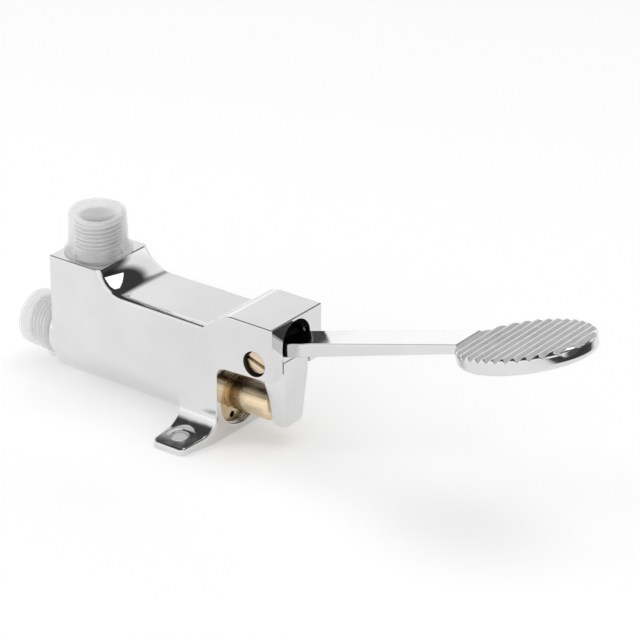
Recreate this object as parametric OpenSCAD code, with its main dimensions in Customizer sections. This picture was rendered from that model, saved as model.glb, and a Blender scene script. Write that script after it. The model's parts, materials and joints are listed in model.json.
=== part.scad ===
// Foot pedal tap valve: a floor-mounted, spring-closed push valve worked by a pedal lever.
// Origin on the floor midway between the two mounting holes, +X towards the pedal, +Z up, millimetres.

/* [Body casting] */
// Width of the casting
body_w = 33; // [32:0.5:38]
// Distance from the mounting holes back to the rear face
rear_reach = 77; // [74:0.5:86]
// Length of the rear block's top
rear_len = 26; // [25:0.5:30]
// Height of the rear block's top above the floor
rear_top = 60; // [58:0.5:64]
// Height of the neck's top above the floor
neck_top = 51.5; // [49:0.5:54]
// Radius of the hollow sweep from the rear block down to the neck
neck_sweep_r = 15.5; // [13:0.5:20]
// Rounding of the neck's long edges
neck_edge_r = 2.5; // [1:0.25:4]
// Gap between the floor and the rounded belly
belly_gap = 3; // [2:0.5:6]

/* [Front block] */
// Height of the front block's top above the floor
front_top = 59.3; // [57:0.1:63]
// Distance from the mounting holes forward to the front face
front_reach = 40; // [39:0.5:44]
// Distance from the mounting holes to the foot of the ramp
ramp_foot_x = 2.8; // [0:0.1:4]
// Slope of the ramp in degrees
ramp_angle = 38.5; // [34:0.5:50]
// Width of the slot between the cheeks
slot_w = 18; // [17:0.25:20]
// Thickness of the roof over the slot's arch
roof_t = 1.5; // [1:0.25:3]
// Height of the front block's underside at the mouth
under_z = 34.4; // [33:0.1:36]
// Rise of the underside towards the front
under_rise = 1.3; // [0:0.1:2]
// Radius of the hollow corner between the mouth's face and the underside
under_corner_r = 4; // [2:0.5:6]

/* [Mounting ears] */
// Distance between the mounting holes
hole_pitch = 53; // [51:0.5:56]
// Diameter of the mounting holes
hole_d = 7.4; // [5:0.1:8]
// Distance from the middle to an ear's end
ear_reach = 35; // [34:0.5:40]
// Width of an ear along the body
ear_w = 16.5; // [15:0.5:18]
// Thickness of an ear at its end
ear_tip_t = 3.2; // [2.5:0.1:4]
// Slope of an ear's upper face in degrees
ear_slope = 7; // [3:0.5:10]
// Radius of the flare from an ear up to the body
ear_flare_r = 9; // [6:0.5:10]
// Diameter of the spot face for a screw's head
spot_face_d = 13; // [11.5:0.5:14]
// Corner radius of an ear
ear_corner_r = 3; // [1.5:0.5:6]

/* [Ports] */
// Outer diameter of the port threads
port_thread_d = 20.955; // [20.955:0.001:21]
// Spacing of the port threads' ridges
port_thread_pitch = 1.814; // [1.5:0.001:2]
// Height of the port threads' ridges
port_thread_h = 1.162; // [0.9:0.001:1.2]
// Length of a port stub
port_len = 16; // [13:0.5:18]
// Length of the plain boss behind the rear port's thread
rear_boss_len = 5; // [3:0.25:7]
// Diameter of the plain boss behind the rear port's thread
rear_boss_d = 27; // [26:0.5:30]
// Bore of a port
port_bore_d = 15; // [12:0.5:16]
// Lead chamfer at a port's end
port_lead = 1.4; // [0.8:0.1:2]
// Height of the level gallery from the valve back to the top port
gallery_d = 11; // [9:0.5:11]
// Height of the level gallery's middle above the floor
gallery_z = 41.5; // [41.5:0.25:42]
// Wall left round the cored waterways
core_wall = 4; // [3.5:0.25:5]

/* [Port caps] */
// Diameter of a cap's rim
cap_rim_d = 28.8; // [28:0.1:31]
// Thickness of a cap's rim
cap_rim_t = 1.5; // [1:0.1:2.5]
// Outer diameter of a cap at its rim
cap_base_d = 25.4; // [24.6:0.1:27]
// Outer diameter of a cap at its closed end
cap_end_d = 24.2; // [23.8:0.1:24.6]
// Height of a cap
cap_h = 19; // [18.5:0.5:22]
// Wall thickness of a cap
cap_wall = 0.9; // [0.7:0.1:1]
// Rounding of a cap's closed end
cap_round_r = 2.4; // [2:0.1:3]
// Gap between a cap's rim and the face that it stands on
cap_seat_gap = 0.1; // [0.05:0.05:0.2]

/* [Valve] */
// Height of the valve's axis above the floor
valve_z = 16.5; // [16:0.25:17.5]
// Distance from the mounting holes forward to the body's mouth
mouth_x = 11.5; // [10:0.5:13]
// Diameter of the gland's threaded mouth
mouth_d = 26.8; // [26:0.1:27.5]
// Depth of the gland nut's face inside the mouth
gland_recess = 3.5; // [2:0.25:5]
// Length of the gland nut
gland_len = 11; // [10:0.5:13]
// Diameter of the gland nut's spanner holes
spanner_hole_d = 2.8; // [2:0.1:3.2]
// Thickness of the flat gaskets
gasket_t = 1; // [0.8:0.1:1.5]
// Diameter of the cage's bore in the body
chamber_d = 22; // [21.5:0.1:23]
// Length of the seat cage
cage_len = 33; // [30:0.5:36]
// Inner diameter of the seat cage
cage_bore_d = 17; // [16.8:0.1:17.5]
// Thickness of the cage's end web, which carries the seat
web_t = 3; // [2:0.25:4]
// Diameter of the passage through the seat
seat_bore_d = 11; // [9:0.25:11]
// Height of the seat's lip
lip_h = 0.8; // [0.5:0.1:1.2]
// Diameter of the plunger
plunger_d = 14; // [12:0.1:14.5]
// Radius of the plunger's domed tip
plunger_dome_r = 9.5; // [9:0.5:20]
// Diameter of the plunger's collar
collar_d = 16.4; // [16:0.1:16.5]
// Thickness of the plunger's collar
collar_t = 4; // [2:0.5:5]
// Diameter of the plunger's stem
stem_d = 6; // [5:0.25:6.5]
// Section diameter of the gland's O-rings
seal_d = 2.2; // [1.8:0.1:2.4]
// Diameter of the valve disc
disc_d = 16; // [15:0.25:17]
// Thickness of the valve disc's floor
disc_floor_t = 2; // [1.5:0.25:3]
// Thickness of the rubber seat washer
seat_washer_t = 2.5; // [2:0.25:3]
// Thickness of the split lock washers
lock_washer_t = 1; // [0.8:0.1:1.2]
// Width across flats of the disc nut
nut_af = 10; // [8:0.5:10]
// Thickness of the disc nut
nut_t = 3.2; // [2.5:0.1:4]
// Wire diameter of the return spring
spring_wire_d = 1.4; // [1:0.1:1.6]
// Mean diameter of the return spring
spring_d = 12.6; // [12.4:0.1:13.2]
// Turns of the return spring
spring_turns = 7; // [5:1:8]

/* [Pedal lever] */
// Distance from the mounting holes forward to the pivot
pivot_x = 31; // [30:0.25:32]
// Height of the pivot above the floor
pivot_z = 41.8; // [41:0.1:43]
// Radius of the lever's hub
hub_r = 8.4; // [7:0.1:8.6]
// Width of the lever at its hub
lever_w = 16; // [14:0.25:16.5]
// Lean of the leg's push face at rest in degrees
push_lean = 5; // [4:0.25:6]
// Distance of the push face ahead of the pivot, at the plunger's height
push_ahead = 0.55; // [0:0.05:1]
// Distance of the leg's root behind the pivot, below the hub
leg_root_back = 3.4; // [2.5:0.1:4]
// Height where the leg's push face begins
leg_knee_z = 22; // [21.5:0.1:24]
// Gap between the leg's front face and the body's front face
leg_inset = 0.2; // [0:0.1:1]
// Draw-back of the leg's front face at the foot
leg_draw = 1.6; // [0:0.1:2]
// Height of the leg's foot above the floor
leg_foot_z = 10.2; // [9:0.1:11]
// Width of the leg above its foot
leg_foot_w = 12.4; // [11:0.1:14]
// Width of the flat under the foot
foot_flat_w = 9; // [6:0.25:11]
// Height of the foot's chamfers
foot_chamfer_h = 1; // [0.5:0.1:2]
// Length of the cut corner at the foot's heel
heel_len = 2; // [0.5:0.1:3]
// Height of the cut corner at the foot's heel
heel_h = 3.4; // [1:0.1:3.5]
// Slope of the arm at rest in degrees
arm_angle = 16.5; // [14:0.5:17]
// Height of the arm's upper face over the pivot, square to the arm
arm_rise = 5.6; // [5:0.1:6]
// Width of the arm at its root
arm_root_w = 15; // [13:0.25:15.5]
// Thickness of the arm at its root
arm_root_t = 6.3; // [5:0.1:7]
// Thickness of the arm at the pad
arm_tip_t = 4; // [3:0.1:5]
// Width of the arm at the pad
arm_tip_w = 17; // [15:0.5:20]
// Distance from the pivot to the pad's middle, along the arm
pad_reach = 124.4; // [110:0.1:140]
// Length of the pad along the arm
pad_len = 59.4; // [50:0.1:66]
// Width of the pad
pad_w = 46.6; // [40:0.1:56]
// Thickness of the pad
pad_t = 7; // [6:0.25:9]
// Drop of the pad's rib crests below the arm's upper face
pad_drop = 0.6; // [0:0.1:1.5]
// Rounding of the pad's lower edge
pad_edge_r = 2.5; // [1:0.25:3]
// Rounding of the pad's upper edge
pad_shoulder_r = 2; // [1:0.25:2.5]
// Spacing of the pad's ribs
rib_pitch = 4.4; // [3.5:0.1:6]
// Depth of the grooves between the ribs
rib_depth = 1.5; // [0.8:0.1:2]
// Half width of a rib's crest as a share of the spacing
rib_crest = 0.12; // [0.05:0.01:0.25]
// Lap of the arm over the pad's edge
arm_lap = 3; // [2:0.5:6]
// Full press of the pedal in degrees
press_angle = 10; // [8:0.5:11]

/* [Pivot screw] */
// Shank diameter of the pivot screw
screw_shank_d = 6; // [5:0.25:6.5]
// Thread diameter of the pivot screw
screw_thread_d = 5; // [4:0.25:5]
// Head diameter of the pivot screw
screw_head_d = 9.8; // [9:0.1:10]
// Head thickness of the pivot screw
screw_head_t = 2.4; // [2:0.1:2.6]
// Depth of the head below the cheek's side
screw_sink = 2; // [1:0.1:2.2]
// Diameter of the counterbore for the head
counterbore_d = 10.8; // [10.5:0.1:12]
// Length of the screw's thread in the far cheek
screw_thread_len = 5; // [4:0.25:5.5]
// Width of the screwdriver slot
slot_cut_w = 1.4; // [1:0.1:1.6]
// Depth of the screwdriver slot
slot_cut_depth = 1.2; // [0.8:0.1:1.4]
// Turn of the screwdriver slot in degrees
slot_cut_turn = 17.5; // [-90:0.5:90]

/* [Clearances] */
// Radial clearance of turning and sliding fits
run_fit = 0.05; // [0.02:0.01:0.1]
// Radial clearance of pieces that are screwed or pushed together
push_fit = 0.03; // [0.02:0.01:0.05]
// Gap between the plunger's tip and the leg at rest
tip_gap = 0.25; // [0.2:0.05:0.4]
// Gap between the rubber washer and the seat's lip at rest
seat_gap = 0.1; // [0.05:0.05:0.2]
// Gap between the plunger's collar and the gland nut at rest
collar_gap = 0.3; // [0.2:0.05:0.5]
// Gap between the spring's ends and what they bear on
spring_gap = 0.05; // [0.02:0.01:0.1]
// Gap between the hub and the slot's rear wall
hub_gap = 1.5; // [1:0.25:3]

/* [Hidden] */
$fn = 96;
over = 1;
half_w = body_w / 2;
rear_x = -rear_reach;
inlet_z = belly_gap + half_w;
top_port_x = rear_x + rear_len / 2;
port_r = port_thread_d / 2;
sweep_z = neck_top + neck_sweep_r;
sweep_x = rear_x + rear_len + sqrt(pow(neck_sweep_r, 2) - pow(sweep_z - rear_top, 2));
ramp_top_x = ramp_foot_x + (front_top - neck_top + neck_edge_r) / tan(ramp_angle);
arch_z = front_top - roof_t - slot_w / 2;
core_w = body_w - 2 * core_wall;
thread_run_out = 1;
thread_flank_share = 0.37;
thread_crest_share = 0.16;
seat_wall_share = 1.5;
slot_x = pivot_x - hub_r - hub_gap;

// Stations along the valve's axis, from the mouth backwards
gland_face_x = mouth_x - gland_recess;
gland_back_x = gland_face_x - gland_len;
shoulder_x = gland_back_x - gasket_t;
cage_back_x = gland_back_x - cage_len;
seat_shoulder_x = cage_back_x - gasket_t;
web_x = cage_back_x + web_t;
collar_x = gland_back_x - collar_gap;
spring_front_x = collar_x - collar_t;
washer_x = cage_back_x - lip_h - seat_gap;
disc_x = washer_x - seat_washer_t;
disc_back_x = disc_x - disc_floor_t;
nut_x = disc_back_x - lock_washer_t;
stem_tail = 1.4;
stem_end_x = nut_x - nut_t - stem_tail;
gallery_x = (web_x + gland_back_x) / 2;

// The plunger's travel, by the leg's leaning flat face on the plunger's dome
push_arm = pivot_z - valve_z;
push_off = push_arm * sin(push_lean) - push_ahead * cos(push_lean);
function dome_x(press) = pivot_x + push_arm * tan(push_lean - press)
    - (push_off + plunger_dome_r) / cos(push_lean - press);
stroke = dome_x(0) - dome_x(press_angle);
push_ratio = stroke / (press_angle * PI / 180);
tip_x = dome_x(0) + plunger_dome_r - tip_gap;
echo(stroke_mm = stroke, push_mm_per_rad = push_ratio);

seal_groove_r = plunger_d / 2 + run_fit + seal_d;
seal_play = 0.4;
seal_groove_w = seal_d + seal_play;
seal_shares = [0.28, 0.64];
seal_x = [for (share = seal_shares) gland_back_x + gland_len * share];
spanner_inset = 0.9;
spanner_r = (seal_groove_r + mouth_d / 2) / 2 - spanner_inset;
spanner_depth = 2;
spanner_turn = -12;
seat_ledge = 1.5;
seat_way_d = chamber_d - 2 * seat_ledge;
disc_rim_t = 1;
disc_rim_share = 0.6;
lip_r = (seat_bore_d / 2 + disc_d / 2) / 2;
cheek_in = slot_w / 2;
spot_sink = 0.2;
spot_z = ear_tip_t - spot_sink + (ear_reach - hole_pitch / 2) * tan(ear_slope);
counterbore_y = -half_w + screw_sink + screw_head_t + lock_washer_t;
arm_root_share = 0.4;
arm_root_u = hub_r * arm_root_share;
pad_top = arm_rise - pad_drop;
rib_shave = 0.05;

// Draws a side view, x and z, across the width w
module across_y(w) {
    rotate([90, 0, 0]) linear_extrude(w, center = true) children();
}

// Draws a front view, y and z, from x0 forward to x1
module along_x(x0, x1) {
    translate([x0, 0, 0]) rotate([90, 0, 90]) linear_extrude(x1 - x0) children();
}

// Turns a profile of radius and x about the valve's axis
module turned(z = valve_z) {
    translate([0, 0, z]) rotate([0, 90, 0]) rotate_extrude() children();
}

// A bore or rod along X
module rod_x(d, x0, x1, z = valve_z) {
    translate([x0, 0, z]) rotate([0, 90, 0]) cylinder(d = d, h = x1 - x0);
}

// A ring of radii r0 to r1 from x0 to x1 in a turned profile
module band(r0, r1, x0, x1) {
    translate([r0, x0]) square([r1 - r0, x1 - x0]);
}

// The belly: a full round below, straight sides up to the top
module belly_section(top) {
    translate([0, inlet_z]) circle(r = half_w);
    translate([-half_w, inlet_z]) square([body_w, top - inlet_z]);
}

// What is open over the neck, as depth below the sweep's centre and width
module neck_air_section() {
    translate([0, -half_w - over]) square([neck_sweep_r, body_w + 2 * over]);
    for (s = [-1, 1]) {
        difference() {
            translate([neck_sweep_r - over, s > 0 ? half_w - neck_edge_r : -half_w - over])
                square([neck_edge_r + over, neck_edge_r + over]);
            translate([neck_sweep_r + neck_edge_r, s * (half_w - neck_edge_r)]) circle(r = neck_edge_r);
        }
    }
}

module neck_air() {
    translate([sweep_x, 0, sweep_z]) rotate([90, 0, 0]) rotate_extrude() neck_air_section();
    translate([sweep_x, 0, sweep_z]) rotate([0, 90, 0]) linear_extrude(mouth_x + over - sweep_x) neck_air_section();
}

// Side view of the front block with its ramp, its level underside and the hollow corner over the mouth
module front_side() {
    foot_z = neck_top - neck_edge_r;
    polygon([[ramp_foot_x, foot_z], [ramp_top_x, front_top], [front_reach, front_top],
             [front_reach, under_z + under_rise], [mouth_x, under_z], [ramp_foot_x, under_z]]);
    difference() {
        translate([mouth_x - over, under_z - under_corner_r])
            square([under_corner_r + over, under_corner_r + over / 2]);
        translate([mouth_x + under_corner_r, under_z - under_corner_r]) circle(r = under_corner_r);
    }
}

// The slot for the lever between the cheeks, under an arched roof
module lever_slot() {
    along_x(slot_x, front_reach + over) {
        translate([0, arch_z]) circle(d = slot_w);
        translate([-cheek_in, -over]) square([slot_w, arch_z + over]);
    }
}

// One ear's section with its sloping top and its flare up to the body
module ear_section() {
    slope = tan(ear_slope);
    flare_y = half_w + ear_flare_r;
    flare_z = ear_tip_t + (ear_reach - flare_y) * slope + ear_flare_r / cos(ear_slope);
    touch_y = flare_y - ear_flare_r * sin(ear_slope);
    touch_z = flare_z - ear_flare_r * cos(ear_slope);
    difference() {
        polygon([[0, 0], [ear_reach, 0], [ear_reach, ear_tip_t], [touch_y, touch_z], [touch_y, flare_z],
                 [0, flare_z]]);
        translate([flare_y, flare_z]) circle(r = ear_flare_r);
    }
}

// Plan of the base: ears with rounded corners, which widen forward to the mouth's face
module ear_plan() {
    in_x = ear_w / 2 - ear_corner_r;
    in_y = ear_reach - ear_corner_r;
    square([ear_w, 2 * in_y], center = true);
    square([2 * in_x, 2 * ear_reach], center = true);
    for (sx = [-1, 1], sy = [-1, 1]) translate([sx * in_x, sy * in_y]) circle(r = ear_corner_r);
    polygon([[0, -in_y], [ear_w / 2, -in_y], [mouth_x, -half_w], [mouth_x, half_w], [ear_w / 2, in_y], [0, in_y]]);
}

module base() {
    difference() {
        intersection() {
            for (s = [0, 1]) mirror([0, s, 0]) along_x(-ear_w / 2, mouth_x) ear_section();
            linear_extrude(rear_top) ear_plan();
        }
        for (s = [-1, 1]) {
            translate([0, s * hole_pitch / 2, -over]) cylinder(d = hole_d, h = inlet_z);
            translate([0, s * hole_pitch / 2, spot_z]) rotate([-s * ear_slope, 0, 0])
                cylinder(d = spot_face_d, h = ear_flare_r);
        }
    }
    along_x(-ear_w / 2, mouth_x) translate([-half_w, 0]) square([body_w, inlet_z + over]);
}

// A port's stub with turned thread ridges and a lead chamfer, pointing up from the origin
module port_stub() {
    root_r = port_r - port_thread_h;
    flank = thread_flank_share * port_thread_pitch;
    crest = thread_crest_share * port_thread_pitch;
    ridge = [[0, 0], [port_thread_h, flank], [port_thread_h, flank + crest], [0, 2 * flank + crest]];
    ridges = floor((port_len - thread_run_out) / port_thread_pitch);
    rotate_extrude($fn = 48) intersection() {
        polygon(concat([[0, -over], [root_r, -over]],
            [for (i = [0:ridges - 1], p = ridge) [root_r + p[0], thread_run_out + i * port_thread_pitch + p[1]]],
            [[root_r, port_len], [0, port_len]]));
        polygon([[0, -over], [port_r + over, -over], [port_r + over, port_len - port_lead - over],
                 [port_r - port_lead, port_len], [0, port_len]]);
    }
}

// Turns what points up round to the rear port, on its boss
module at_rear_port() {
    translate([rear_x - rear_boss_len, 0, inlet_z]) rotate([0, -90, 0]) children();
}

// An oblong with round ends, w long and d across
module oblong(w, d) {
    square([w - d, d], center = true);
    for (s = [-1, 1]) translate([s * (w - d) / 2, 0]) circle(d = d);
}

// The cored ways: inlet chamber, seat and mouth, then the drop, the gallery and the outlet chamber
module waterways() {
    core_back_x = rear_x + core_wall;
    core_front_x = seat_shoulder_x - seat_wall_share * core_wall;
    gallery_floor_z = gallery_z - gallery_d / 2;
    rod_x(port_bore_d, rear_x - rear_boss_len - port_len - over, core_back_x + over, inlet_z);
    rod_x(core_w, core_back_x, core_front_x, inlet_z);
    rod_x(seat_way_d, core_front_x - over, seat_shoulder_x + over);
    rod_x(chamber_d, seat_shoulder_x, shoulder_x + over);
    rod_x(mouth_d, shoulder_x, mouth_x + over);
    translate([gallery_x, 0, valve_z]) cylinder(d = gallery_d, h = gallery_z - valve_z);
    along_x(top_port_x, gallery_x + gallery_d / 2) translate([0, gallery_z]) oblong(core_w, gallery_d);
    translate([top_port_x, 0, gallery_floor_z]) linear_extrude(rear_top - core_wall - gallery_floor_z)
        rotate(90) oblong(core_w, rear_len - 2 * core_wall);
    translate([top_port_x, 0, gallery_z]) cylinder(d = port_bore_d, h = rear_top + port_len + over - gallery_z);
}

module pivot_holes() {
    translate([pivot_x, 0, pivot_z]) rotate([-90, 0, 0]) {
        translate([0, 0, -half_w - over]) cylinder(d = counterbore_d, h = counterbore_y + half_w + over);
        translate([0, 0, -half_w]) cylinder(d = screw_shank_d + 2 * push_fit, h = half_w);
        cylinder(d = screw_thread_d + 2 * push_fit, h = cheek_in + screw_thread_len + push_fit);
    }
}

module valve_body() {
    color("gainsboro") difference() {
        union() {
            difference() {
                along_x(rear_x, mouth_x) belly_section(rear_top);
                neck_air();
            }
            across_y(body_w) front_side();
            base();
            translate([top_port_x, 0, rear_top]) port_stub();
            rod_x(rear_boss_d, rear_x - rear_boss_len, rear_x + over, inlet_z);
            at_rear_port() port_stub();
        }
        lever_slot();
        waterways();
        pivot_holes();
    }
}

// A thin push-on cap with a rim, open below
module port_cap() {
    module outline(base_r, end_r, h, round_r) {
        polygon([[0, 0], [base_r, 0], [end_r, h - round_r], [end_r - round_r, h], [0, h]]);
        translate([end_r - round_r, h - round_r]) circle(r = round_r);
    }
    translate([0, 0, cap_seat_gap]) rotate_extrude() difference() {
        union() {
            outline(cap_base_d / 2, cap_end_d / 2, cap_h, cap_round_r);
            square([cap_rim_d / 2, cap_rim_t]);
        }
        translate([0, -cap_wall]) outline(cap_base_d / 2 - cap_wall, cap_end_d / 2 - cap_wall, cap_h,
                                          cap_round_r - cap_wall);
        translate([0, -cap_wall]) square([cap_base_d / 2 - cap_wall, cap_wall + over]);
    }
}

module top_port_cap() {
    color("whitesmoke", 0.5) translate([top_port_x, 0, rear_top]) port_cap();
}

module rear_port_cap() {
    color("whitesmoke", 0.5) at_rear_port() port_cap();
}

// Side view of the lever's leg, from the hub down to the foot
module leg_side() {
    function push_x(z) = pivot_x - (push_off - sin(push_lean) * (pivot_z - z)) / cos(push_lean);
    front = front_reach - leg_inset;
    heel_z = leg_foot_z + heel_h;
    polygon([[pivot_x - leg_root_back, pivot_z], [pivot_x - leg_root_back, pivot_z - hub_r],
             [push_x(leg_knee_z), leg_knee_z], [push_x(heel_z), heel_z], [push_x(heel_z) + heel_len, leg_foot_z],
             [front - leg_draw, leg_foot_z], [front, pivot_z - hub_r], [front, pivot_z]]);
}

// Front view of the leg: straight at the hub, drawn in to a chamfered foot
module leg_front() {
    half = [for (p = [[lever_w, pivot_z], [lever_w, pivot_z - hub_r], [leg_foot_w, leg_foot_z + foot_chamfer_h],
                      [foot_flat_w, leg_foot_z]]) [p[0] / 2, p[1]]];
    polygon(concat(half, [for (i = [len(half) - 1:-1:0]) [-half[i][0], half[i][1]]]));
}

// Side and plan of the arm in its own sloping frame, u along it and v square to it
module arm() {
    tip_u = pad_reach - pad_len / 2 + arm_lap;
    intersection() {
        across_y(max(arm_root_w, arm_tip_w) + 2 * over)
            polygon([[arm_root_u, arm_rise - arm_root_t], [arm_root_u, arm_rise], [tip_u, arm_rise],
                     [tip_u, arm_rise - arm_tip_t]]);
        linear_extrude(4 * arm_root_t, center = true)
            polygon([[arm_root_u, -arm_root_w / 2], [tip_u, -arm_tip_w / 2], [tip_u, arm_tip_w / 2],
                     [arm_root_u, arm_root_w / 2]]);
    }
}

// The oval pad: a turned plate with rounded edges, drawn in to an oval and cut into ribs above
module pad() {
    end = pad_len / 2;
    bottom = pad_top - pad_t;
    blank_top = pad_top + rib_shave;
    belt_z = [bottom + pad_edge_r, blank_top - pad_shoulder_r];
    ribs = ceil(pad_len / rib_pitch / 2);
    translate([pad_reach, 0, 0]) difference() {
        scale([1, pad_w / pad_len, 1]) rotate_extrude() {
            translate([end - pad_edge_r, belt_z[0]]) circle(r = pad_edge_r, $fn = 24);
            translate([end - pad_shoulder_r, belt_z[1]]) circle(r = pad_shoulder_r, $fn = 24);
            polygon([[0, bottom], [end - pad_edge_r, bottom], [end - pad_edge_r, belt_z[0]], [end, belt_z[0]],
                     [end, belt_z[1]], [end - pad_shoulder_r, belt_z[1]], [end - pad_shoulder_r, blank_top],
                     [0, blank_top]]);
        }
        across_y(pad_w + 2 * over) polygon(concat(
            [for (i = [-ribs:ribs], p = [[-0.5, -1], [-rib_crest, 0], [rib_crest, 0]])
                [(i + p[0]) * rib_pitch, pad_top + p[1] * rib_depth]],
            [[(ribs + 0.5) * rib_pitch, pad_top + 2 * over], [-(ribs + 0.5) * rib_pitch, pad_top + 2 * over]]));
    }
}

module pedal_lever() {
    color("silver") difference() {
        union() {
            translate([pivot_x, 0, pivot_z]) rotate([90, 0, 0]) cylinder(r = hub_r, h = lever_w, center = true);
            intersection() {
                across_y(lever_w) leg_side();
                along_x(pivot_x - hub_r, front_reach + over) leg_front();
            }
            translate([pivot_x, 0, pivot_z]) rotate([0, -arm_angle, 0]) {
                arm();
                pad();
            }
        }
        translate([pivot_x, 0, pivot_z]) rotate([90, 0, 0])
            cylinder(d = screw_shank_d + 2 * run_fit, h = body_w, center = true);
    }
}

// The screw lies along Y, its head in the near cheek and its thread in the far one
module pivot_screw() {
    head_y = -half_w + screw_sink;
    color("goldenrod") translate([pivot_x, 0, pivot_z]) difference() {
        rotate([-90, 0, 0]) rotate_extrude() polygon([
            [0, head_y], [screw_head_d / 2, head_y], [screw_head_d / 2, head_y + screw_head_t],
            [screw_shank_d / 2, head_y + screw_head_t], [screw_shank_d / 2, cheek_in],
            [screw_thread_d / 2, cheek_in], [screw_thread_d / 2, cheek_in + screw_thread_len],
            [0, cheek_in + screw_thread_len]]);
        translate([0, head_y, 0]) rotate([0, slot_cut_turn, 0])
            cube([counterbore_d, 2 * slot_cut_depth, slot_cut_w], center = true);
    }
}

// A split ring about Z with its gap at +X
module split_ring(d_in, d_out, t) {
    gap = t;
    linear_extrude(t) difference() {
        circle(d = d_out);
        circle(d = d_in);
        translate([0, -gap / 2]) square([d_out, gap]);
    }
}

module pivot_lock_washer() {
    color("darkgray") translate([pivot_x, counterbore_y, pivot_z]) rotate([90, 0, 0])
        split_ring(screw_shank_d + 2 * push_fit, screw_head_d, lock_washer_t);
}

module plunger() {
    flat = plunger_dome_r - sqrt(pow(plunger_dome_r, 2) - pow(plunger_d / 2, 2));
    color("goldenrod") turned() {
        band(0, stem_d / 2, stem_end_x, spring_front_x + over);
        band(0, collar_d / 2, spring_front_x, collar_x);
        band(0, plunger_d / 2, collar_x - over, tip_x - flat);
        intersection() {
            translate([0, tip_x - plunger_dome_r]) circle(r = plunger_dome_r);
            band(0, plunger_d / 2, tip_x - flat - over, tip_x);
        }
    }
}

module gland_nut() {
    color("goldenrod") difference() {
        turned() difference() {
            band(plunger_d / 2 + run_fit, mouth_d / 2 - push_fit, gland_back_x, gland_face_x);
            for (x = seal_x) band(0, seal_groove_r, x - seal_groove_w / 2, x + seal_groove_w / 2);
        }
        translate([0, 0, valve_z]) for (a = [spanner_turn, spanner_turn + 180]) rotate([a, 0, 0])
            translate([gland_face_x - spanner_depth, 0, -spanner_r]) rotate([0, 90, 0])
                cylinder(d = spanner_hole_d, h = spanner_depth + over);
    }
}

module gland_gasket() {
    color("dimgray") turned() band(chamber_d / 2, mouth_d / 2 - push_fit, shoulder_x, gland_back_x);
}

module gland_seals() {
    color("black") turned() for (x = seal_x) translate([plunger_d / 2 + run_fit + seal_d / 2, x])
        circle(d = seal_d - push_fit);
}

// The sleeve with the seat in its end web, thinned and pierced where the water leaves
module seat_cage() {
    relief_len = cage_len / 2;
    relief_depth = 1;
    relief_d = chamber_d - 2 * relief_depth;
    window_d = cage_bore_d / 2;
    color("goldenrod") difference() {
        turned() difference() {
            union() {
                band(cage_bore_d / 2, chamber_d / 2 - push_fit, cage_back_x, gland_back_x);
                band(seat_bore_d / 2, chamber_d / 2 - push_fit, cage_back_x, web_x);
                polygon([[lip_r - lip_h, cage_back_x], [lip_r - lip_h / 4, cage_back_x - lip_h],
                         [lip_r + lip_h / 4, cage_back_x - lip_h], [lip_r + lip_h, cage_back_x]]);
            }
            band(relief_d / 2, chamber_d, gallery_x - relief_len / 2, gallery_x + relief_len / 2);
        }
        translate([gallery_x, 0, valve_z]) for (a = [0, 90]) rotate([a, 0, 0])
            cylinder(d = window_d, h = chamber_d + 2 * over, center = true);
    }
}

module cage_gasket() {
    color("dimgray") turned() band(seat_way_d / 2, chamber_d / 2 - push_fit, seat_shoulder_x, cage_back_x);
}

// Points of the spring's wire: closed turns at both ends, open turns between
wire_r = spring_wire_d / 2;
coil_r = spring_d / 2;
ring_sides = 6;
rings_a_turn = 8;
end_turns = 1;
all_turns = spring_turns + 2 * end_turns;
spring_x0 = web_x + spring_gap + wire_r;
spring_x1 = spring_front_x - spring_gap - wire_r;
end_gap = 0.45;
end_pitch = spring_wire_d + end_gap;
open_pitch = (spring_x1 - spring_x0 - 2 * end_turns * end_pitch) / spring_turns;
function wire_x(t) = spring_x0 + (t < end_turns ? t * end_pitch
    : t < all_turns - end_turns ? end_turns * end_pitch + (t - end_turns) * open_pitch
    : spring_x1 - spring_x0 - (all_turns - t) * end_pitch);
wire_points = [for (i = [0:all_turns * rings_a_turn])
    let (t = i / rings_a_turn) [wire_x(t), coil_r * cos(t * 360), coil_r * sin(t * 360)]];
rings_apart = 5;
wire_gap = min([for (i = [0:len(wire_points) - 1], j = [i + rings_apart:1:len(wire_points) - 1])
    norm(wire_points[i] - wire_points[j])]) - spring_wire_d;
echo(spring_least_gap_mm = wire_gap);

// One unbroken tube along points that wind about X
module wire_tube(points, r) {
    n = len(points);
    function ring(i) = let (ahead = points[min(i + 1, n - 1)] - points[max(i - 1, 0)], along = ahead / norm(ahead),
                            p = points[i], out = [0, p[1], p[2]] / norm([0, p[1], p[2]]), side = cross(along, out),
                            up = side / norm(side), away = cross(up, along))
        [for (k = [0:ring_sides - 1]) p + r * (cos(k * 360 / ring_sides) * away + sin(k * 360 / ring_sides) * up)];
    verts = [for (i = [0:n - 1]) each ring(i)];
    walls = [for (i = [0:n - 2], k = [0:ring_sides - 1]) let (a = i * ring_sides + k,
        b = i * ring_sides + (k + 1) % ring_sides) each [[a, b, b + ring_sides], [a, b + ring_sides, a + ring_sides]]];
    ends = [for (k = [1:ring_sides - 2]) each [[0, k + 1, k],
        [(n - 1) * ring_sides, (n - 1) * ring_sides + k, (n - 1) * ring_sides + k + 1]]];
    polyhedron(verts, concat(walls, ends));
}

module return_spring() {
    color("lightgray") translate([0, 0, valve_z]) wire_tube(wire_points, wire_r);
}

module valve_disc() {
    color("goldenrod") turned() difference() {
        band(stem_d / 2 + push_fit, disc_d / 2, disc_back_x, disc_x + seat_washer_t * disc_rim_share);
        band(0, disc_d / 2 - disc_rim_t, disc_x, washer_x);
    }
}

module seat_washer() {
    color("black") turned() band(stem_d / 2 + push_fit, disc_d / 2 - disc_rim_t - push_fit, disc_x, washer_x);
}

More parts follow.
